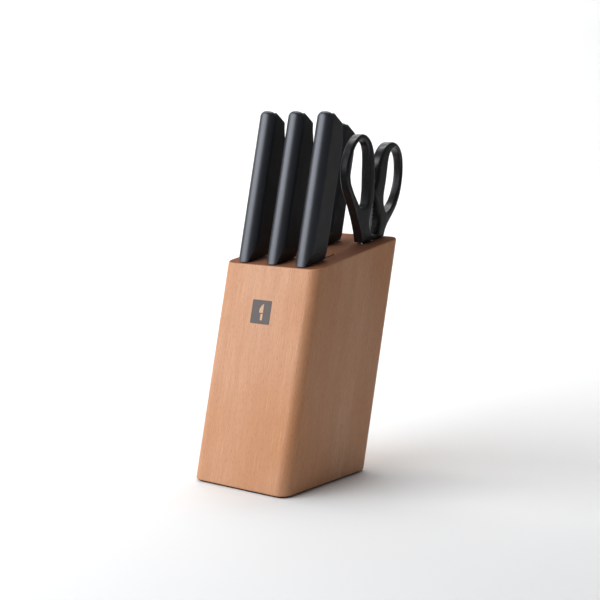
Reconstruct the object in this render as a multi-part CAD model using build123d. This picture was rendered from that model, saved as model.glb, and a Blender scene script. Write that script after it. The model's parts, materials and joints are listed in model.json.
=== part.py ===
from build123d import *
import os
from math import radians, sin, cos, tan

# Knife block: four glued beech boards leaning back, three large knives in a front row,
# a small knife and kitchen scissors behind them. Millimetres and degrees.
#
# Everything is drawn in a leaning frame and tilted at the end: X runs across the block
# from its middle, Y runs square to the slots from the front face towards the back, and
# Z runs up along the slots from the lower front edge. place() stands it on the table.

# --- block ---------------------------------------------------------------------------
LEAN = 13.2                # backward lean of the block and of every slot
BLOCK_W = 100.0            # across
BLOCK_T = 120.7            # front face to back face, square to the slots
BLOCK_FRONT = 191.0        # front face, measured along the slots
TOP_RISE = 22.0            # the top face climbs by this towards the back
CORNER_R = 10.0            # four long rounded corners
RIM_R = 1.5                # eased rim round the top and the underside
PAD_T = 1.2                # non-slip pad under the block
PAD_INSET = 3.0            # pad edge inside the block's outline

# --- knives --------------------------------------------------------------------------
ROW_PITCH = 0.307 * BLOCK_W  # between the knives of the front row
ROW_MID = -0.4             # middle slot, from the block's middle
BLADE_T = 2.0              # at the spine
EDGE_T = 0.4               # at the cutting edge
SPINE_IN = 4.5             # blade's spine behind the handle's front
HEEL_DROP = 7.0            # blade's heel below the handle's end
NECK_BACK = 20.0           # depth of the blade's neck at the handle
NECK_UP = 8.0              # height of the neck inside the handle
TANG_W = 12.0
TANG_SHORT = 31.0          # tang ends below the butt by this
RIB_SHORT = 28.0           # core's inner rib ends below the butt by this
RIB_HALF = 3.4             # its half thickness
RIB_WALL = 3.5             # grip behind it
GRIP_T = 17.0              # handle thickness
GRIP_LEN = 136.0           # handle length along its front
GRIP_DEEP = 27.4           # handle front to belly
GRIP_FRONT = 1.5           # handle behind the block's front face
GRIP_GAP = 1.0             # handle end above the top face
SPINE_SHARE = 7.8          # depth of the rounded front part of a handle
JACKET_INSET = 0.35        # side of the matt grip inside the side of the core
BUTT_FALL = 21.0           # the butt falls by this towards the belly
BUTT_TAPER_LEN = 28.0      # the belly draws in over this height at the butt
BELLY_R = 4.0
BUTT_R = 4.5               # dome of the core's butt
CAP_R = 1.6                # eased butt of the matt grip
END_TAPER_H = 12.0         # lower end of a handle narrows over this height
END_HALF = 5.0             # half width left at the lower end

# --- slots ---------------------------------------------------------------------------
SLOT_W = BLADE_T + 1.0     # milled into one face of a board
SLOT_END = 1.6             # slot before a blade's spine
SLOT_DEEP = 3.0            # slot past a blade's tip

# --- scissors ------------------------------------------------------------------------
SHEARS_X = 0.3 * BLOCK_W   # their middle plane, from the block's middle
SHEARS_T = 10.2            # handle thickness
LOOP_R = 1.4               # round the inside of the finger loops
FRONT_EDGE_R = 0.7         # outer edges of the front handle
BACK_EDGE_R = 1.2          # outer edges of the back handle
PLATE_T = 1.8              # each blade's thickness
PLATE_GAP = 0.1            # between the two blades
PIVOT_Y = BLOCK_T - 20.3
PIVOT_DEEP = 20.6          # below the top face
PIVOT_R = 2.4
PIVOT_CLEAR = 0.05         # running clearance on the pivot
HEAD_R = 4.6
HEAD_T = 1.5
HEAD_EASE = 0.4
DRIVE_W = 1.2              # screwdriver slot
DRIVE_DEEP = 0.7
NUT_AF = 8.0
NUT_T = 2.0
FRONT_GAP = 0.9            # front handle above the top face
BACK_GAP = 0.8             # back handle above the top face
FOOT_LIFT = 1.2            # front corner of the front handle, so that it can open in the block
POCKET_W = 9.0             # across the scissors
POCKET = (-13.5, 11.5)     # before and behind the pivot
POCKET_DEEP = 6.0          # past the blades' tips
TIP = (-6.5, -87.0)        # where the closed blades end, from the pivot
TIP_HALF = 0.8
TEETH = 7                  # nut-cracker teeth on the front blade's tang
TOOTH_PITCH = 3.6
TOOTH_H = 1.6
TEETH_START = (1.0, 29.2)  # the lowest tooth's root, from the pivot
TEETH_LEAN = 0.25          # the row leans forward by this per half tooth

# x: slot plane; front: handle front; slot: slot length behind the spine; width, length: blade;
# tip_back: how far the tip lies behind the spine; drop: where the spine starts to fall; flat:
# square end; belly: height of the curved part of the edge; size: handle section against the
# large ones; grip: handle length; draw: how far the belly draws in at the butt.
KNIVES = {
    "slicing_knife": dict(x=ROW_MID - ROW_PITCH, front=GRIP_FRONT, slot=81.6, width=80.0,
                          length=BLOCK_FRONT - 33.0, tip_back=9.0, drop=9.0, flat=60.0,
                          belly=11.0, size=1.0, grip=GRIP_LEN, draw=4.5),
    "chef_knife": dict(x=ROW_MID, front=GRIP_FRONT, slot=44.6, width=43.0,
                       length=BLOCK_FRONT - 23.0, tip_back=14.0, drop=60.0, flat=0.0,
                       belly=80.0, size=1.0, grip=GRIP_LEN, draw=4.5),
    "santoku_knife": dict(x=ROW_MID + ROW_PITCH, front=GRIP_FRONT, slot=44.6, width=37.0,
                          length=BLOCK_FRONT - 25.0, tip_back=29.0, drop=48.0, flat=0.0,
                          belly=26.0, size=1.0, grip=GRIP_LEN, draw=4.5),
    "utility_knife": dict(x=ROW_MID, front=BLOCK_T - 51.7, slot=23.6, width=22.0,
                          length=112.0, tip_back=12.0, drop=40.0, flat=0.0,
                          belly=42.0, size=0.88, grip=114.5, draw=1.5),
}


def top_z(y, above=0.0):
    """Height of the block's top face at depth y, in the leaning frame."""
    return BLOCK_FRONT + y * tan(radians(TOP_RISE)) + above


def under_z(y, above=0.0):
    """Height of the block's underside at depth y, in the leaning frame."""
    return (PAD_T + above) / cos(radians(LEAN)) + y * tan(radians(LEAN))


PIVOT_Z = top_z(PIVOT_Y, -PIVOT_DEEP)


def half_space(y, z, rise, up=True):
    """A large block of material above or below the sloping plane through (y, z)."""
    slope = radians(rise)
    plane = Plane(origin=(0, y, z), x_dir=(1, 0, 0), z_dir=(0, -sin(slope), cos(slope)))
    side = Align.MIN if up else Align.MAX
    return plane * Box(600, 900, 500, align=(Align.CENTER, Align.CENTER, side))


def slab(x0, x1, y0, y1, z0, z1):
    """A box given by its two corners."""
    return Pos((x0 + x1) / 2, (y0 + y1) / 2, (z0 + z1) / 2) * Box(x1 - x0, y1 - y0, z1 - z0)


def plate(x0, x1, *curves):
    """A plate between two X values with the outline of curves drawn as (y, z)."""
    outline = make_face([edge for curve in curves for edge in curve.edges()])
    return extrude(Plane.YZ.offset(x0) * outline, amount=x1 - x0, dir=(1, 0, 0))


def place(shape):
    """From the leaning frame to the table: tilt back, origin under the footprint's middle."""
    depth = BLOCK_T / cos(radians(LEAN))
    return Pos(0, -depth / 2, 0) * Rot(-LEAN, 0, 0) * shape


# --- knives --------------------------------------------------------------------------
def handle_end(k, y=None):
    """Height of a handle's lower end, at its front or at depth y."""
    return top_z(k["front"] if y is None else y, GRIP_GAP)


def split_y(k):
    """Depth at which the smooth front of a handle meets the matt grip."""
    return k["front"] + k["size"] * SPINE_SHARE


def knife_blade(k):
    """Blade, neck and tang in one piece: flat ground from the spine to a thin edge."""
    x, spine = k["x"], k["front"] + SPINE_IN
    edge = spine + k["width"]
    heel = handle_end(k) - HEEL_DROP
    tip = handle_end(k) - k["length"]
    tip_y = spine + k["tip_back"]
    flat_y = tip_y + k["flat"]
    outline = [
        Line((spine, heel), (spine, tip + k["drop"])),
        Bezier((spine, tip + k["drop"]), (spine, tip + 0.35 * k["drop"]), (tip_y, tip)),
        Bezier((flat_y, tip), (edge, tip + 0.1 * k["belly"]), (edge, tip + k["belly"])),
        Line((edge, tip + k["belly"]), (edge, heel)),
        Line((edge, heel), (spine, heel)),
    ]
    if k["flat"]:
        outline.insert(2, Line((tip_y, tip), (flat_y, tip)))
    body = plate(x - BLADE_T / 2, x + BLADE_T / 2, *outline)
    grind = spine + 0.3 * k["width"]
    half, thin = BLADE_T / 2, EDGE_T / 2
    wedge = Polyline((x - half, spine - 1), (x + half, spine - 1), (x + half, grind),
                     (x + thin, edge), (x + thin, edge + 1), (x - thin, edge + 1),
                     (x - thin, edge), (x - half, grind), close=True)
    section = Plane.XY.offset(tip - 1) * make_face(wedge.edges())
    body = body & extrude(section, amount=heel - tip + 2, dir=(0, 0, 1))
    return (body + knife_tang(k)).clean()


def knife_tang(k):
    """Neck below the handle and tang inside it, at the blade's full thickness."""
    x, half = k["x"], BLADE_T / 2
    spine = k["front"] + SPINE_IN
    back = k["front"] + k["size"] * NECK_BACK
    shoulder = handle_end(k, back) + NECK_UP
    neck = slab(x - half, x + half, spine, back, handle_end(k) - HEEL_DROP - 1, shoulder)
    mid = (spine + back) / 2
    tang_top = handle_end(k) + k["grip"] - TANG_SHORT
    tang = slab(x - half, x + half, mid - TANG_W / 2, mid + TANG_W / 2, shoulder - 1, tang_top)
    return neck + tang


def grip_envelope(k, thick):
    """Outer form of a handle: rounded front, flat sides, drawn-in butt, sloping ends."""
    x, front = k["x"], k["front"]
    deep = k["size"] * GRIP_DEEP
    end = handle_end(k)
    butt = end + k["grip"]
    belly = front + deep
    taper_z = butt - BUTT_TAPER_LEN
    low_z = handle_end(k, belly)
    high_y = belly - k["draw"]
    high_z = butt - tan(radians(BUTT_FALL)) * (deep - k["draw"])
    solid = plate(
        x - thick / 2, x + thick / 2,
        Line((front, end), (front, butt)),
        Line((front, butt), (high_y, high_z)),
        Bezier((high_y, high_z), (high_y + 1.0, taper_z + 10), (belly, taper_z + 8), (belly, taper_z)),
        Line((belly, taper_z), (belly, low_z)),
        Line((belly, low_z), (front, end)),
    )
    spine_edges = solid.edges().filter_by(Axis.Z).group_by(Axis.Y)[0]
    return fillet(spine_edges, thick / 2 - 0.1)


def end_taper(k, solid):
    """Narrow the lower end of a handle from both sides."""
    side = k["size"] * GRIP_T / 2
    run = side - k["size"] * END_HALF
    rise = radians(TOP_RISE)
    along = Vector(0, cos(rise), sin(rise))
    for s in (1, -1):
        base = Vector(k["x"] + s * (side - run), k["front"], handle_end(k))
        up = Vector(s * run, 0, END_TAPER_H).normalized()
        plane = Plane(origin=base, x_dir=along, z_dir=along.cross(up) * s)
        solid -= plane * Box(200, 200, 40, align=(Align.CENTER, Align.CENTER, Align.MIN))
    return solid


def grip_rib(k):
    """Inner rib of the core, which carries the tang and the matt grip."""
    back = k["front"] + k["size"] * GRIP_DEEP - RIB_WALL
    top = handle_end(k) + k["grip"] - RIB_SHORT
    rib = slab(k["x"] - RIB_HALF, k["x"] + RIB_HALF, split_y(k) - 1, back, BLOCK_FRONT, top)
    return rib - half_space(k["front"], handle_end(k), TOP_RISE, up=False)


def knife_core(k):
    """Hard core: the rounded front of the handle and the rib behind it, round the tang."""
    split = split_y(k)
    shell = grip_envelope(k, k["size"] * GRIP_T)
    shell &= slab(-200, 200, -10, split, 0, 500)
    rim = shell.faces().sort_by(Axis.Z)[-1].edges().filter_by(lambda e: e.center().Y < split - 0.01)
    shell = fillet(rim, k["size"] * BUTT_R)
    core = end_taper(k, shell) + grip_rib(k)
    return core - knife_tang(k)


def knife_grip(k):
    """Matt moulded jacket round the rib: both flat sides, the belly and its part of the butt."""
    split = split_y(k)
    solid = grip_envelope(k, k["size"] * GRIP_T - 2 * JACKET_INSET)
    solid &= slab(-200, 200, split, 300, 0, 500)
    belly_edges = solid.edges().filter_by(lambda e: e.center().Y > split + 12 and e.length > 20)
    solid = fillet(belly_edges, BELLY_R)
    cap = solid.faces().filter_by(lambda f: abs(f.normal_at().Z - cos(radians(BUTT_FALL))) < 0.01)
    solid = fillet(cap.edges().filter_by(lambda e: e.center().Y > split + 0.01), CAP_R)
    return end_taper(k, solid) - grip_rib(k) - knife_tang(k)


# --- block ---------------------------------------------------------------------------
def knife_slot(k):
    """Slot for one blade, milled from a board face, open at the top."""
    spine = k["front"] + SPINE_IN
    return slab(k["x"] - SLOT_W / 2, k["x"] + SLOT_W / 2, spine - SLOT_END, spine + k["slot"],
                handle_end(k) - k["length"] - SLOT_DEEP, 2 * BLOCK_FRONT)


def scissors_pocket():
    """Wider pocket for the scissors, inside one board."""
    return slab(SHEARS_X - POCKET_W / 2, SHEARS_X + POCKET_W / 2, PIVOT_Y + POCKET[0], PIVOT_Y + POCKET[1],
                PIVOT_Z + TIP[1] - POCKET_DEEP, 2 * BLOCK_FRONT)


def block_blank():
    """The glued block before slotting, with rounded corners and eased rims."""
    body = slab(-BLOCK_W / 2, BLOCK_W / 2, 0, BLOCK_T, -BLOCK_FRONT, 2 * BLOCK_FRONT)
    body = fillet(body.edges().filter_by(Axis.Z), CORNER_R)
    body -= half_space(0, top_z(0), TOP_RISE)
    body -= half_space(0, under_z(0), LEAN, up=False)
    rims = body.faces().sort_by(Axis.Z)[-1].edges() + body.faces().sort_by(Axis.Z)[0].edges()
    return fillet(rims, RIM_R)


def boards():
    """Four boards, glued at the faces that the slots are milled into."""
    blank = block_blank()
    slot_planes = [ROW_MID + i * ROW_PITCH - SLOT_W / 2 for i in (-1, 0, 1)]
    joints = [-BLOCK_W / 2] + slot_planes + [BLOCK_W / 2]
    names = ["outer_board_left", "inner_board_left", "inner_board_right", "outer_board_right"]
    cuts = [knife_slot(k) for k in KNIVES.values()] + [scissors_pocket()]
    made = {}
    for name, x0, x1 in zip(names, joints, joints[1:]):
        board = blank & slab(x0, x1, -50, 2 * BLOCK_T, -50, 3 * BLOCK_FRONT)
        for cut in cuts:
            box = cut.bounding_box()
            if box.min.X < x1 and box.max.X > x0:
                board -= cut
        made[name] = board
    return made


def non_slip_pad():
    """Rubber sheet glued under the block, its lower face on the table."""
    half = BLOCK_W / 2 - PAD_INSET
    body = slab(-half, half, PAD_INSET, BLOCK_T - PAD_INSET, -100, 100)
    body = fillet(body.edges().filter_by(Axis.Z), CORNER_R - PAD_INSET)
    body &= half_space(0, under_z(0, -PAD_T), LEAN)
    return body - half_space(0, under_z(0), LEAN)


# --- scissors ------------------------------------------------------------------------
# Drawn about their own pivot, with X from their middle plane; at_pivot puts them in the block.
def rest_z(y, above):
    """Height of the block's top face above the pivot, at depth y behind it."""
    return PIVOT_DEEP + y * tan(radians(TOP_RISE)) + above


def handle_plate(outline, foot, hole, edge_r):
    """A moulded handle: plate, finger hole, eased edges; rounder inside the finger hole."""
    body = plate(-SHEARS_T / 2, SHEARS_T / 2, outline, *foot)
    body -= plate(-SHEARS_T, SHEARS_T, hole)
    flats = body.faces().filter_by(Axis.X)
    body = fillet([e for f in flats for w in f.inner_wires() for e in w.edges()], LOOP_R)
    flats = body.faces().filter_by(Axis.X)
    return fillet([e for f in flats for e in f.outer_wire().edges()], edge_r)


def scissors_handle_front():
    """Front handle: the larger finger loop, with a nut-cracker recess towards the other."""
    foot = [(-16.4, rest_z(-16.4, FRONT_GAP + FOOT_LIFT)), (3.2, rest_z(3.2, FRONT_GAP))]
    lip = (3.2, 27.6)
    run = [(-22.9, 27.8), (-31.4, 39.0), (-40.0, 49.0), (-48.8, 58.8), (-54.4, 71.0), (-54.8, 85.0),
           (-49.6, 99.5), (-40.3, 108.4), (-29.0, 107.8), (-20.5, 100.0), (-15.2, 87.0), (-12.2, 73.0),
           (-9.4, 59.0), (-10.4, 49.0), (-11.2, 39.0), (-9.2, 30.0), (-4.0, 25.6)]
    hole = Spline((-23.0, 45.8), (-17.4, 49.0), (-16.8, 57.0), (-20.9, 76.3), (-24.4, 91.0),
                  (-29.5, 100.6), (-37.3, 103.8), (-44.6, 99.6), (-49.4, 89.0), (-50.0, 76.0),
                  (-46.8, 65.0), (-39.4, 56.0), (-31.4, 49.2), periodic=True)
    closing = [Line(lip, foot[1]), Line(foot[1], foot[0])]
    return handle_plate(Spline(foot[0], *run, lip), closing, hole, FRONT_EDGE_R)


def scissors_handle_back():
    """Back handle: the smaller loop, with the stop that meets the front handle."""
    foot = [(y, rest_z(y, BACK_GAP)) for y in (4.3, 15.6)]
    run = [(5.9, 35.5), (4.5, 45.9), (-1.0, 55.6), (-7.0, 62.0), (-8.1, 66.0), (-6.6, 73.0),
           (-7.2, 86.2), (-4.6, 100.0), (4.0, 110.8), (15.4, 113.0), (26.0, 107.4), (31.8, 96.4),
           (34.0, 82.7), (32.4, 64.5), (23.8, 47.0), (16.9, 35.0)]
    hole = Spline((16.0, 49.8), (22.2, 55.6), (27.6, 66.5), (30.2, 80.0), (28.2, 94.6), (22.4, 105.2),
                  (14.6, 108.6), (8.2, 104.0), (6.0, 92.7), (6.7, 76.2), (6.7, 61.8), (10.0, 53.0),
                  periodic=True)
    return handle_plate(Spline(foot[0], *run, foot[1]), [Line(foot[1], foot[0])], hole, BACK_EDGE_R)


def blade_pair_outline(side):
    """Outline below the pivot of one scissor blade; side is +1 for the one at the back."""
    shift, upper, lower = 1.6 * side, 4.0, -10.0
    y, z = TIP
    return [
        Line((shift - 7.0, upper), (shift - 7.2, lower)),
        Bezier((shift - 7.2, lower), (y - 3.5, z + 40), (y - TIP_HALF, z)),
        Line((y - TIP_HALF, z), (y + TIP_HALF, z)),
        Bezier((y + TIP_HALF, z), (y + 6.5, z + 40), (shift + 6.0, lower)),
        Line((shift + 6.0, lower), (shift + 7.0, upper)),
        Line((shift + 7.0, upper), (shift - 7.0, upper)),
    ]


def pivot_bore(x0, x1):
    """Bore through a blade for the pivot screw."""
    bore = Cylinder(PIVOT_R + PIVOT_CLEAR, x1 - x0 + 2)
    return Pos((x0 + x1) / 2, 0, 0) * Rot(0, 90, 0) * bore


def scissors_blade_front():
    """Blade of the front handle, with the nut-cracker teeth in the recess."""
    x1 = -PLATE_GAP / 2
    x0 = x1 - PLATE_T
    teeth = []
    for i in range(2 * TEETH + 1):
        tooth = TOOTH_H * (i % 2)
        teeth.append((TEETH_START[0] - TEETH_LEAN * i + tooth, TEETH_START[1] + TOOTH_PITCH * i / 2))
    tang = [(-9.0, 0.0), (-9.2, 17.0), (-18.0, 35.0), (-21.0, 43.6), (-15.5, 46.0), (-13.4, 53.0),
            (-9.0, 56.0), *reversed(teeth), (0.6, 25.0), (5.5, 15.0), (9.0, 0.0)]
    body = plate(x0, x1, Polyline(*tang, close=True)) + plate(x0, x1, *blade_pair_outline(1))
    return body - pivot_bore(x0, x1)


def scissors_blade_back():
    """Blade of the back handle."""
    x0 = PLATE_GAP / 2
    x1 = x0 + PLATE_T
    tang = [(-9.0, 0.0), (-4.0, 13.0), (4.8, 23.6), (5.9, 29.0), (8.6, 39.0), (6.5, 47.4), (11.0, 48.6),
            (16.5, 46.4), (12.6, 35.0), (10.0, 25.0), (8.5, 15.0), (9.0, 0.0)]
    body = plate(x0, x1, Polyline(*tang, close=True)) + plate(x0, x1, *blade_pair_outline(-1))
    return body - pivot_bore(x0, x1)


def scissors_pivot_screw():
    """Slotted pivot screw: head on the right, plain shank through both blades and the nut."""
    x_head = PLATE_GAP / 2 + PLATE_T
    x_end = -x_head - NUT_T
    along = Rot(0, 90, 0)
    shank = Pos((x_head + x_end) / 2, 0, 0) * along * Cylinder(PIVOT_R, x_head - x_end)
    head = Pos(x_head + HEAD_T / 2, 0, 0) * along * Cylinder(HEAD_R, HEAD_T)
    head = chamfer(head.faces().sort_by(Axis.X)[-1].edges(), HEAD_EASE)
    drive = slab(x_head + HEAD_T - DRIVE_DEEP, x_head + HEAD_T + 1, -DRIVE_W / 2, DRIVE_W / 2,
                 -2 * HEAD_R, 2 * HEAD_R)
    return shank + (head - drive)


def scissors_pivot_nut():
    """Hexagon nut on the left, tight on the shank."""
    prism = extrude(RegularPolygon(NUT_AF / 2, 6, major_radius=False), amount=NUT_T)
    prism -= Pos(0, 0, NUT_T / 2) * Cylinder(PIVOT_R, NUT_T + 2)
    return Pos(-PLATE_GAP / 2 - PLATE_T - NUT_T, 0, 0) * Rot(0, 90, 0) * prism


def scissors():
    """The six pieces of the scissors; each moulded handle is cut out round its blade's tang."""
    blade_front = scissors_blade_front()
    blade_back = scissors_blade_back()
    made = {
        "scissors_blade_front": blade_front,
        "scissors_blade_back": blade_back,
        "scissors_handle_front": scissors_handle_front() - blade_front,
        "scissors_handle_back": scissors_handle_back() - blade_back,
        "scissors_pivot_screw": scissors_pivot_screw(),
        "scissors_pivot_nut": scissors_pivot_nut(),
    }
    at_pivot = Pos(SHEARS_X, PIVOT_Y, PIVOT_Z)
    return {name: at_pivot * shape for name, shape in made.items()}


# --- build ---------------------------------------------------------------------------
parts = boards()
parts["non_slip_pad"] = non_slip_pad()
for name, knife in KNIVES.items():
    parts[name + "_blade"] = knife_blade(knife)
    parts[name + "_core"] = knife_core(knife)
    parts[name + "_grip"] = knife_grip(knife)
parts.update(scissors())

os.makedirs("parts", exist_ok=True)
for name, shape in parts.items():
    export_step(place(shape), "parts/" + name + ".step")
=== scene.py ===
import json
import math

import bmesh
import bpy
from mathutils import Matrix, Vector


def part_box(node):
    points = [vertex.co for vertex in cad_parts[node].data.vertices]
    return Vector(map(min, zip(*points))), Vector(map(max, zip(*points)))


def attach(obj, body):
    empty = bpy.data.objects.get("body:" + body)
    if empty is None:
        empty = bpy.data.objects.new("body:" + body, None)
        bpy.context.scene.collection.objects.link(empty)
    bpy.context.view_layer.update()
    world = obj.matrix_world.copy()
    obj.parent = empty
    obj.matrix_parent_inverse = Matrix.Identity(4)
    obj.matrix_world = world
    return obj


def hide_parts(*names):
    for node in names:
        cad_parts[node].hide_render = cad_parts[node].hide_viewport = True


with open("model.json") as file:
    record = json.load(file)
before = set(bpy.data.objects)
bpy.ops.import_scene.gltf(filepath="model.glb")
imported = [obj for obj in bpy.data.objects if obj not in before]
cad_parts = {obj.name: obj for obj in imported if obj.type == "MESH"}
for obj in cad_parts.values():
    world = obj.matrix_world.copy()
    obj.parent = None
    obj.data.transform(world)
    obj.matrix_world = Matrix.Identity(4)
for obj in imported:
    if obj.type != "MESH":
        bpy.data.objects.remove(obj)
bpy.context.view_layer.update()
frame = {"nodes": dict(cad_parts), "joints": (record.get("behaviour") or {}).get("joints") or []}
nodes = frame["nodes"]

# ---- Lean of the block ---------------------------------------------------------------------
# The block stands on a slanting foot, so its faces, slots and handles all lean back alike.
# The knives lift out along the slots, which gives the lean; patterns and prints follow it.
MM = 0.001
lift = next(joint for joint in frame["joints"] if joint["name"] == "chef_knife_lift")["axis"]
LEAN = math.atan2(lift[1], lift[2])
to_table = Matrix.Rotation(-LEAN, 4, "X")
to_slots = Matrix.Rotation(LEAN, 4, "X")
block_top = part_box("inner_board_left")[1].z

# ---- Camera --------------------------------------------------------------------------------
# A long portrait lens at worktop height, turned to the front right corner of the block and
# tipped slightly down, with a half degree of roll as from a hand-set tripod head.
camera_data = bpy.data.cameras.new("camera")
camera_data.sensor_width = 36.0
camera_data.lens = 79.64
camera = bpy.data.objects.new("camera", camera_data)
bpy.context.scene.collection.objects.link(camera)
turned = Matrix.Rotation(math.radians(36.50), 4, "Z")
tipped = Matrix.Rotation(math.radians(90.0 - 7.53), 4, "X")
rolled = Matrix.Rotation(math.radians(0.56), 4, "Z")
camera.matrix_world = Matrix.Translation((0.6873, -0.9030, 0.3051)) @ turned @ tipped @ rolled
bpy.context.scene.camera = camera

# ---- Paper sweep ---------------------------------------------------------------------------
# A roll of matt white background paper laid on the table and curved up behind the block, as
# in a product studio: one strip, pulled back, spun through a quarter turn and pulled up.
SWEEP_HALF = 2.2
SWEEP_NEAR = 1.9
SWEEP_BACK = 1.1
SWEEP_BEND = 0.5
SWEEP_RISE = 1.6
SWEEP_STEPS = 24


def add_node(tree, kind, inputs=None, **settings):
    """Adds a node: settings are its own properties, inputs are values or sockets to link."""
    made = tree.nodes.new(kind)
    for key, value in settings.items():
        setattr(made, key, value)
    for key, value in (inputs or {}).items():
        if isinstance(value, bpy.types.NodeSocket):
            tree.links.new(value, made.inputs[key])
        else:
            made.inputs[key].default_value = value
    return made


def linear(colour):
    """Linear RGBA from an sRGB hex colour."""
    channels = [int(colour[i:i + 2], 16) / 255 for i in (1, 3, 5)]
    return [c / 12.92 if c <= 0.04045 else ((c + 0.055) / 1.055) ** 2.4 for c in channels] + [1.0]


def new_material(name):
    """A material with its node tree and its one shader."""
    material = bpy.data.materials.new(name)
    material.use_nodes = True
    return material, material.node_tree, material.node_tree.nodes["Principled BSDF"]


def made_piece(name, mesh, material, smooth=True):
    """The finished bmesh as an object with one material."""
    data = bpy.data.meshes.new(name)
    mesh.to_mesh(data)
    mesh.free()
    data.materials.append(material)
    if smooth:
        data.shade_smooth()
    piece = bpy.data.objects.new(name, data)
    bpy.context.scene.collection.objects.link(piece)
    return piece


paper, tree, shader = new_material("background paper")
shader.inputs["Base Color"].default_value = linear("#F4F4F3")
shader.inputs["Roughness"].default_value = 0.9
shader.inputs["Specular IOR Level"].default_value = 0.1

strip = bmesh.new()
ends = [strip.verts.new((side * SWEEP_HALF, -SWEEP_NEAR, 0.0)) for side in (-1, 1)]
front_edge = strip.edges.new(ends)
pulled = bmesh.ops.extrude_edge_only(strip, edges=[front_edge])["geom"]
moved = [part for part in pulled if isinstance(part, bmesh.types.BMVert)]
bmesh.ops.translate(strip, verts=moved, vec=(0, SWEEP_NEAR + SWEEP_BACK, 0))
back_edge = [part for part in pulled if isinstance(part, bmesh.types.BMEdge)
             and all(vert in moved for vert in part.verts)]
curved = bmesh.ops.spin(strip, geom=moved + back_edge, cent=(0, SWEEP_BACK, SWEEP_BEND), axis=(1, 0, 0),
                        angle=math.pi / 2, steps=SWEEP_STEPS)["geom_last"]
pulled = bmesh.ops.extrude_edge_only(
    strip, edges=[part for part in curved if isinstance(part, bmesh.types.BMEdge)])["geom"]
moved = [part for part in pulled if isinstance(part, bmesh.types.BMVert)]
bmesh.ops.translate(strip, verts=moved, vec=(0, 0, SWEEP_RISE))
bmesh.ops.transform(strip, matrix=turned, verts=strip.verts)
bmesh.ops.recalc_face_normals(strip, faces=strip.faces)
made_piece("paper_sweep", strip, paper)

# ---- Studio light --------------------------------------------------------------------------
# One large softbox in front and to the left, raised well above the block and tipped down to it,
# and a weak grey room. The paper behind has its own wash of light from overhead.
room = bpy.data.worlds.new("studio room")
room.use_nodes = True
room.node_tree.nodes["Background"].inputs["Color"].default_value = linear("#C9CBCE")
room.node_tree.nodes["Background"].inputs["Strength"].default_value = 0.2
bpy.context.scene.world = room
bpy.context.scene.view_settings.view_transform = "Standard"


def softbox(name, place, aim, width, height, watts, colour="#FFFFFF"):
    """An area light at place that faces the point aim."""
    lamp = bpy.data.lights.new(name, "AREA")
    lamp.shape = "RECTANGLE"
    lamp.size = width
    lamp.size_y = height
    lamp.energy = watts
    lamp.color = linear(colour)[:3]
    light = bpy.data.objects.new(name, lamp)
    turn = (Vector(aim) - Vector(place)).to_track_quat("-Z", "Y").to_matrix().to_4x4()
    light.matrix_world = Matrix.Translation(place) @ turn
    bpy.context.scene.collection.objects.link(light)


softbox("key_softbox", (-0.80, -1.22, 0.92), (0, 0, 0.16), 2.0, 1.1, 36.0, "#FAFCFF")
softbox("paper_wash", (-0.5, 0.5, 1.9), (-1.2, 1.5, 0.4), 1.4, 0.6, 30.0)

# ---- Beech boards --------------------------------------------------------------------------
# Four planed boards of steamed beech, slotted on a spindle moulder, glued face to face, then
# cut to length at both slants, rounded along the corners and oiled. The grain runs up the
# slots, so the sloping top shows the darker, thirstier end grain.
FIBRE_W = 0.55 * MM
FIBRE_LEN = 26 * MM
FLECK_W = 1.0 * MM
FLECK_LEN = 5.5 * MM
RING_W = 11 * MM
PATCH_W = 70 * MM


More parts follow.
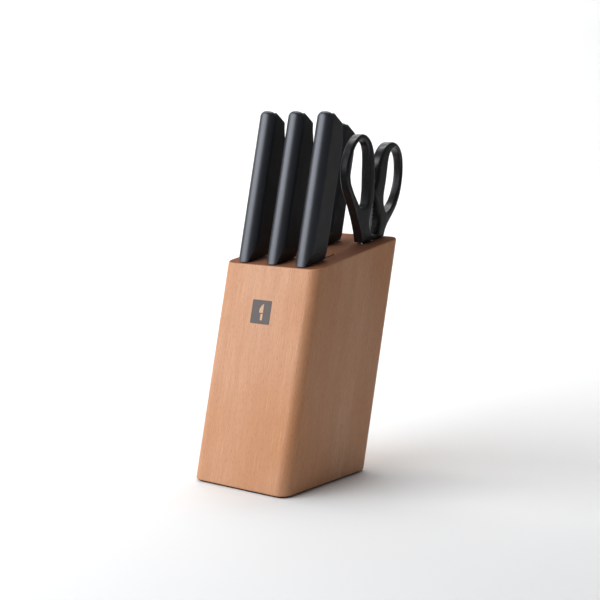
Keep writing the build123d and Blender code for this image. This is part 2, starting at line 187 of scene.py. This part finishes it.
def beech(name, shift):
    """Oiled beech: pinkish tan with fine straight fibres, short brown ray flecks, faint growth
    bands and broad warm patches; end grain is darker and drier. shift moves all but the patches,
    so that each board is its own piece of wood and the glued block still has one tone."""
    material, tree, shader = new_material(name)
    place = add_node(tree, "ShaderNodeTexCoord")
    upright = add_node(tree, "ShaderNodeMapping", {"Vector": place.outputs["Object"],
                       "Rotation": (LEAN, 0, 0), "Location": (shift, 0.37 * shift, 1.9 * shift)})
    grain = upright.outputs["Vector"]

    def noise(across, along, detail, rough=0.5):
        size = add_node(tree, "ShaderNodeVectorMath", {0: grain, 1: (1 / across, 1 / across, 1 / along)},
                        operation="MULTIPLY")
        return add_node(tree, "ShaderNodeTexNoise", {"Vector": size.outputs[0], "Scale": 1.0,
                        "Detail": detail, "Roughness": rough}).outputs["Fac"]

    def level(value, low, high, to_low=0.0, to_high=1.0):
        return add_node(tree, "ShaderNodeMapRange", {"Value": value, "From Min": low, "From Max": high,
                        "To Min": to_low, "To Max": to_high}, clamp=True).outputs["Result"]

    def tint(factor, under, over):
        mixed = add_node(tree, "ShaderNodeMix", {0: factor, 6: under, 7: over}, data_type="RGBA")
        return mixed.outputs[2]

    fibres = noise(FIBRE_W, FIBRE_LEN, 3.0, 0.6)
    bands = noise(RING_W, 0.5, 2.0)
    broad = add_node(tree, "ShaderNodeVectorMath",
                     {0: place.outputs["Object"], 1: (1 / PATCH_W, 1 / PATCH_W, 0.5 / PATCH_W)},
                     operation="MULTIPLY")
    patches = add_node(tree, "ShaderNodeTexNoise", {"Vector": broad.outputs[0], "Scale": 1.0,
                       "Detail": 1.0}).outputs["Fac"]
    cells = add_node(tree, "ShaderNodeVectorMath",
                     {0: grain, 1: (1 / FLECK_W, 1 / FLECK_W, 1 / FLECK_LEN)}, operation="MULTIPLY")
    fleck_cells = add_node(tree, "ShaderNodeTexVoronoi", {"Vector": cells.outputs[0], "Scale": 1.0,
                           "Randomness": 1.0})
    flecks = level(fleck_cells.outputs["Distance"], 0.16, 0.34, 1.0, 0.0)
    colour = tint(level(patches, 0.35, 0.66), linear("#C79573"), linear("#C0865B"))
    colour = tint(level(bands, 0.42, 0.62, 0.0, 0.35), colour, linear("#B98361"))
    colour = tint(level(fibres, 0.38, 0.68, 0.0, 0.42), colour, linear("#A9744F"))
    colour = tint(level(fibres, 0.28, 0.42, 0.3, 0.0), colour, linear("#DDB392"))
    fleck_amount = add_node(tree, "ShaderNodeMath", {0: flecks, 1: 0.34}, operation="MULTIPLY")
    colour = tint(fleck_amount.outputs[0], colour, linear("#8A5636"))
    facing = add_node(tree, "ShaderNodeVectorMath", {0: place.outputs["Normal"],
                      1: (0, math.sin(LEAN), math.cos(LEAN))}, operation="DOT_PRODUCT")
    size_only = add_node(tree, "ShaderNodeMath", {0: facing.outputs["Value"]}, operation="ABSOLUTE")
    end_grain = level(size_only.outputs[0], 0.55, 0.9)
    soaked = add_node(tree, "ShaderNodeMix", {0: 1.0, 6: colour, 7: linear("#AC9686")},
                      data_type="RGBA", blend_type="MULTIPLY").outputs[2]
    colour = tint(end_grain, colour, soaked)
    tree.links.new(colour, shader.inputs["Base Color"])
    oiled = level(fibres, 0.3, 0.7, 0.44, 0.58)
    dry = add_node(tree, "ShaderNodeMix", {0: end_grain, 2: oiled, 3: 0.95}, data_type="FLOAT").outputs[0]
    tree.links.new(dry, shader.inputs["Roughness"])
    relief = add_node(tree, "ShaderNodeBump", {"Height": fibres, "Strength": 0.35,
                      "Distance": 0.12 * MM})
    tree.links.new(relief.outputs["Normal"], shader.inputs["Normal"])
    shader.inputs["IOR"].default_value = 1.5
    shader.inputs["Specular IOR Level"].default_value = 0.4
    return material


BOARDS = ("outer_board_left", "inner_board_left", "inner_board_right", "outer_board_right")


def finish_node(node, material):
    """Gives a carried-over part its finish in place of the plain one."""
    nodes[node].data.materials.clear()
    nodes[node].data.materials.append(material)


for count, board in enumerate(BOARDS):
    finish_node(board, beech("oiled beech " + board.replace("_", " "), 0.21 * (count + 1)))

# ---- Non-slip pad --------------------------------------------------------------------------
# A sheet of black foamed rubber glued under the block, so that it doesn't slide when a knife
# is drawn. It is a little smaller than the block's foot and shows as a thin dark line.
rubber, tree, shader = new_material("black foamed rubber")
shader.inputs["Base Color"].default_value = linear("#1B1B1B")
shader.inputs["Roughness"].default_value = 0.85
shader.inputs["Specular IOR Level"].default_value = 0.3
place = add_node(tree, "ShaderNodeTexCoord")
foam = add_node(tree, "ShaderNodeTexVoronoi", {"Vector": place.outputs["Object"], "Scale": 1 / (0.8 * MM)})
relief = add_node(tree, "ShaderNodeBump", {"Height": foam.outputs["Distance"], "Strength": 0.5,
                  "Distance": 0.1 * MM})
tree.links.new(relief.outputs["Normal"], shader.inputs["Normal"])
finish_node("non_slip_pad", rubber)

# ---- Knife cores ---------------------------------------------------------------------------
# Each handle's rounded front is the outside of a hard polypropylene core, injection moulded
# round the tang in a tool with a fine spark-eroded surface. It gives a cool, silky highlight
# that breaks into fine grain, and falls to near black where it turns from the light.
KNIVES = ("slicing_knife", "chef_knife", "santoku_knife", "utility_knife")
SPARK_GRAIN = 0.6 * MM  # true grain is about 0.1 mm; drawn coarser so that it shows

core_plastic, tree, shader = new_material("spark-textured polypropylene")
place = add_node(tree, "ShaderNodeTexCoord")
grit = add_node(tree, "ShaderNodeTexNoise", {"Vector": place.outputs["Object"],
                "Scale": 1 / SPARK_GRAIN, "Detail": 2.0, "Roughness": 0.6})
cloud = add_node(tree, "ShaderNodeTexNoise", {"Vector": place.outputs["Object"], "Scale": 1 / (14 * MM),
                 "Detail": 2.0})
shade = add_node(tree, "ShaderNodeMix", {0: cloud.outputs["Fac"], 6: linear("#0D0E11"),
                 7: linear("#131519")}, data_type="RGBA")
tree.links.new(shade.outputs[2], shader.inputs["Base Color"])
silk = add_node(tree, "ShaderNodeMapRange", {"Value": grit.outputs["Fac"], "From Min": 0.3,
                "From Max": 0.7, "To Min": 0.36, "To Max": 0.48})
tree.links.new(silk.outputs["Result"], shader.inputs["Roughness"])
relief = add_node(tree, "ShaderNodeBump", {"Height": grit.outputs["Fac"], "Strength": 0.45,
                  "Distance": 0.08 * MM})
tree.links.new(relief.outputs["Normal"], shader.inputs["Normal"])
shader.inputs["IOR"].default_value = 1.49
shader.inputs["Specular IOR Level"].default_value = 1.0
shader.inputs["Specular Tint"].default_value = linear("#F1F4FF")
for knife in KNIVES:
    finish_node(knife + "_core", core_plastic)

# ---- Knife grips ---------------------------------------------------------------------------
# The flat sides and belly are a second shot of softer, fully matt polypropylene over the
# core. It hardly reflects, so the flats read as even charcoal with a fine leathery grain.
LEATHER_GRAIN = 0.9 * MM

grip_plastic, tree, shader = new_material("matt overmoulded grip")
place = add_node(tree, "ShaderNodeTexCoord")
hide = add_node(tree, "ShaderNodeTexVoronoi", {"Vector": place.outputs["Object"],
                "Scale": 1 / LEATHER_GRAIN, "Randomness": 1.0}, feature="SMOOTH_F1")
wear = add_node(tree, "ShaderNodeTexNoise", {"Vector": place.outputs["Object"], "Scale": 1 / (9 * MM),
                "Detail": 3.0})
shade = add_node(tree, "ShaderNodeMix", {0: wear.outputs["Fac"], 6: linear("#2B2B2B"),
                 7: linear("#333333")}, data_type="RGBA")
tree.links.new(shade.outputs[2], shader.inputs["Base Color"])
shader.inputs["Roughness"].default_value = 0.68
relief = add_node(tree, "ShaderNodeBump", {"Height": hide.outputs["Distance"], "Strength": 0.35,
                  "Distance": 0.08 * MM})
tree.links.new(relief.outputs["Normal"], shader.inputs["Normal"])
shader.inputs["IOR"].default_value = 1.47
for knife in KNIVES:
    finish_node(knife + "_grip", grip_plastic)

# ---- Blades --------------------------------------------------------------------------------
# Blades, necks and tangs are stamped from stainless sheet, hardened and ground across with a
# belt. The belt leaves fine lines from spine to edge, which streak the reflections.
GRIND_W = 0.22 * MM
GRIND_LEN = 30 * MM

steel, tree, shader = new_material("belt-ground stainless steel")
place = add_node(tree, "ShaderNodeTexCoord")
upright = add_node(tree, "ShaderNodeMapping", {"Vector": place.outputs["Object"], "Rotation": (LEAN, 0, 0)})
lines = add_node(tree, "ShaderNodeVectorMath", {0: upright.outputs["Vector"],
                 1: (1 / GRIND_LEN, 1 / GRIND_LEN, 1 / GRIND_W)}, operation="MULTIPLY")
belt = add_node(tree, "ShaderNodeTexNoise", {"Vector": lines.outputs[0], "Scale": 1.0, "Detail": 4.0,
                "Roughness": 0.65})
shade = add_node(tree, "ShaderNodeMix", {0: belt.outputs["Fac"], 6: linear("#A9ABAE"),
                 7: linear("#D4D6D8")}, data_type="RGBA")
tree.links.new(shade.outputs[2], shader.inputs["Base Color"])
gloss = add_node(tree, "ShaderNodeMapRange", {"Value": belt.outputs["Fac"], "From Min": 0.3,
                 "From Max": 0.7, "To Min": 0.24, "To Max": 0.38})
tree.links.new(gloss.outputs["Result"], shader.inputs["Roughness"])
relief = add_node(tree, "ShaderNodeBump", {"Height": belt.outputs["Fac"], "Strength": 0.2,
                  "Distance": 0.02 * MM})
tree.links.new(relief.outputs["Normal"], shader.inputs["Normal"])
shader.inputs["Metallic"].default_value = 1.0
for blade in [knife + "_blade" for knife in KNIVES] + ["scissors_blade_front", "scissors_blade_back"]:
    finish_node(blade, steel)

# ---- Scissors handles ----------------------------------------------------------------------
# Two injection-moulded finger bows over the blades' tangs. The real ones have no flat left on
# the bows: the strip round each finger hole is rolled nearly round, and it turns crisper
# towards the foot. They are cast here from the plain handles as fine skins, then rubbed down.
SKIN = 0.5 * MM
FOOT_RUBS = 3
BOW_RUBS = 16
FULLER = 0.15 * MM     # grown by this after rubbing, which shrinks a skin
BOW_START = 52 * MM    # the bows begin this far above the block
RAIL_REACH = 14 * MM   # full thickness up to here from the pivot, front or back
SLIM_RUN = 16 * MM     # and the outer strips' thickness from this much further out
BOW_SLIM = 0.86        # thickness of the outer strips against the foot

bow_plastic, tree, shader = new_material("satin moulded nylon")
place = add_node(tree, "ShaderNodeTexCoord")
grit = add_node(tree, "ShaderNodeTexNoise", {"Vector": place.outputs["Object"],
                "Scale": 1 / SPARK_GRAIN, "Detail": 2.0, "Roughness": 0.6})
shade = add_node(tree, "ShaderNodeMix", {0: grit.outputs["Fac"], 6: linear("#0F1011"),
                 7: linear("#16171A")}, data_type="RGBA")
tree.links.new(shade.outputs[2], shader.inputs["Base Color"])
silk = add_node(tree, "ShaderNodeMapRange", {"Value": grit.outputs["Fac"], "From Min": 0.3,
                "From Max": 0.7, "To Min": 0.26, "To Max": 0.36})
tree.links.new(silk.outputs["Result"], shader.inputs["Roughness"])
relief = add_node(tree, "ShaderNodeBump", {"Height": grit.outputs["Fac"], "Strength": 0.2,
                  "Distance": 0.04 * MM})
tree.links.new(relief.outputs["Normal"], shader.inputs["Normal"])
shader.inputs["IOR"].default_value = 1.53


pivot = [to_slots @ vert.co for vert in nodes["scissors_pivot_screw"].data.vertices]
pivot_y = sum(point.y for point in pivot) / len(pivot)


def moulded_bow(name, node, body):
    """A finger bow: the plain handle skinned finely, rubbed round above its foot, and slimmed
    towards the strips outside the finger holes."""
    plain = bmesh.new()
    plain.from_mesh(nodes[node].data)
    bmesh.ops.remove_doubles(plain, verts=plain.verts, dist=0.01 * MM)
    rough = made_piece(name + "_rough", plain, bow_plastic)
    skin = rough.modifiers.new("skin", "REMESH")
    skin.mode = "VOXEL"
    skin.voxel_size = SKIN
    skinned = rough.evaluated_get(bpy.context.evaluated_depsgraph_get())
    cast = bmesh.new()
    cast.from_mesh(bpy.data.meshes.new_from_object(skinned))
    bpy.data.objects.remove(rough)
    for _ in range(FOOT_RUBS):
        bmesh.ops.smooth_vert(cast, verts=cast.verts, factor=0.5, use_axis_x=True, use_axis_y=True,
                              use_axis_z=True)
    bow = [vert for vert in cast.verts if (to_slots @ vert.co).z > block_top + BOW_START]
    for _ in range(BOW_RUBS):
        bmesh.ops.smooth_vert(cast, verts=bow, factor=0.5, use_axis_x=True, use_axis_y=True,
                              use_axis_z=True)
    bmesh.ops.recalc_face_normals(cast, faces=cast.faces)
    cast.normal_update()
    middle = sum(vert.co.x for vert in cast.verts) / len(cast.verts)
    for vert in cast.verts:
        reach = abs((to_slots @ vert.co).y - pivot_y)
        slim = 1 - (1 - BOW_SLIM) * min(max((reach - RAIL_REACH) / SLIM_RUN, 0), 1)
        vert.co += vert.normal * FULLER
        vert.co.x = middle + slim * (vert.co.x - middle)
    piece = made_piece(name, cast, bow_plastic)
    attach(piece, body)
    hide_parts(node)


moulded_bow("scissors_bow_front", "scissors_handle_front", "scissors_front_half")
moulded_bow("scissors_bow_back", "scissors_handle_back", "scissors_back_half")

# ---- Scissors pivot ------------------------------------------------------------------------
# A turned and slotted screw with a hexagon nut, both bright zinc plated, so they are paler
# and softer in their reflections than the ground blades that they hold together.
zinc, tree, shader = new_material("bright zinc plate")
place = add_node(tree, "ShaderNodeTexCoord")
bloom = add_node(tree, "ShaderNodeTexNoise", {"Vector": place.outputs["Object"], "Scale": 1 / (1.5 * MM),
                 "Detail": 3.0})
shade = add_node(tree, "ShaderNodeMix", {0: bloom.outputs["Fac"], 6: linear("#B4B6B8"),
                 7: linear("#D9DBDC")}, data_type="RGBA")
tree.links.new(shade.outputs[2], shader.inputs["Base Color"])
shader.inputs["Metallic"].default_value = 1.0
shader.inputs["Roughness"].default_value = 0.3
finish_node("scissors_pivot_screw", zinc)
finish_node("scissors_pivot_nut", zinc)

# ---- Print on the front --------------------------------------------------------------------
# A small dark square screen-printed on the front board, with a plain little knife left clear
# in it. The ink is thin, so it sits almost flush and some of the grain shows through it.
PRINT_SIZE = 20.4 * MM
PRINT_CENTRE = (-1.5 * MM, 151.3 * MM)
PRINT_CORNER = 0.9 * MM
INK = 0.08 * MM

ink, tree, shader = new_material("screen-printed ink")
place = add_node(tree, "ShaderNodeTexCoord")
upright = add_node(tree, "ShaderNodeMapping", {"Vector": place.outputs["Object"], "Rotation": (LEAN, 0, 0)})
lines = add_node(tree, "ShaderNodeVectorMath", {0: upright.outputs["Vector"],
                 1: (1 / FIBRE_W, 1 / FIBRE_W, 1 / FIBRE_LEN)}, operation="MULTIPLY")
shown = add_node(tree, "ShaderNodeTexNoise", {"Vector": lines.outputs[0], "Scale": 1.0, "Detail": 3.0})
shade = add_node(tree, "ShaderNodeMix", {0: shown.outputs["Fac"], 6: linear("#4B4543"),
                 7: linear("#5B524E")}, data_type="RGBA")
tree.links.new(shade.outputs[2], shader.inputs["Base Color"])
shader.inputs["Roughness"].default_value = 0.6

clear, tree, shader = new_material("bare beech in the print")
shader.inputs["Base Color"].default_value = linear("#C39878")
shader.inputs["Roughness"].default_value = 0.5

front_face = min((to_slots @ vert.co).y for vert in nodes["inner_board_left"].data.vertices)
foot_z = front_face * math.tan(LEAN)


def on_front(mesh):
    """Takes a flat bmesh drawn as (across, up) about the print's centre to the front face."""
    upright = Matrix.Rotation(math.pi / 2, 4, "X")
    seat = Matrix.Translation((PRINT_CENTRE[0], front_face, PRINT_CENTRE[1] + foot_z))
    bmesh.ops.transform(mesh, matrix=to_table @ seat @ upright, verts=mesh.verts)


def printed(name, outline, proud, material, corner):
    """A thin printed shape from its outline, with its corners rounded."""
    shape = bmesh.new()
    shape.faces.new([shape.verts.new((x, y, 0)) for x, y in outline])
    if corner:
        bmesh.ops.bevel(shape, geom=list(shape.verts), offset=corner, segments=5, profile=0.5,
                        affect="VERTICES", material=-1)
    top = bmesh.ops.extrude_face_region(shape, geom=list(shape.faces))["geom"]
    bmesh.ops.translate(shape, verts=[part for part in top if isinstance(part, bmesh.types.BMVert)],
                        vec=(0, 0, proud))
    bmesh.ops.recalc_face_normals(shape, faces=shape.faces)
    on_front(shape)
    piece = made_piece(name, shape, material, smooth=False)
    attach(piece, "block")


half = PRINT_SIZE / 2
printed("front_print_ground", [(-half, -half), (half, -half), (half, half), (-half, half)], INK, ink,
        PRINT_CORNER)
printed("front_print_knife_blade", [(-1.9 * MM, -0.6 * MM), (2.1 * MM, -0.6 * MM), (2.1 * MM, 7.2 * MM),
                                    (-0.2 * MM, 5.4 * MM), (-1.9 * MM, 2.6 * MM)], 1.5 * INK, clear, 0.0)
printed("front_print_knife_handle", [(-0.1 * MM, -7.0 * MM), (2.1 * MM, -7.0 * MM), (2.1 * MM, -1.5 * MM),
                                     (-0.1 * MM, -1.5 * MM)], 1.5 * INK, clear, 0.5 * MM)
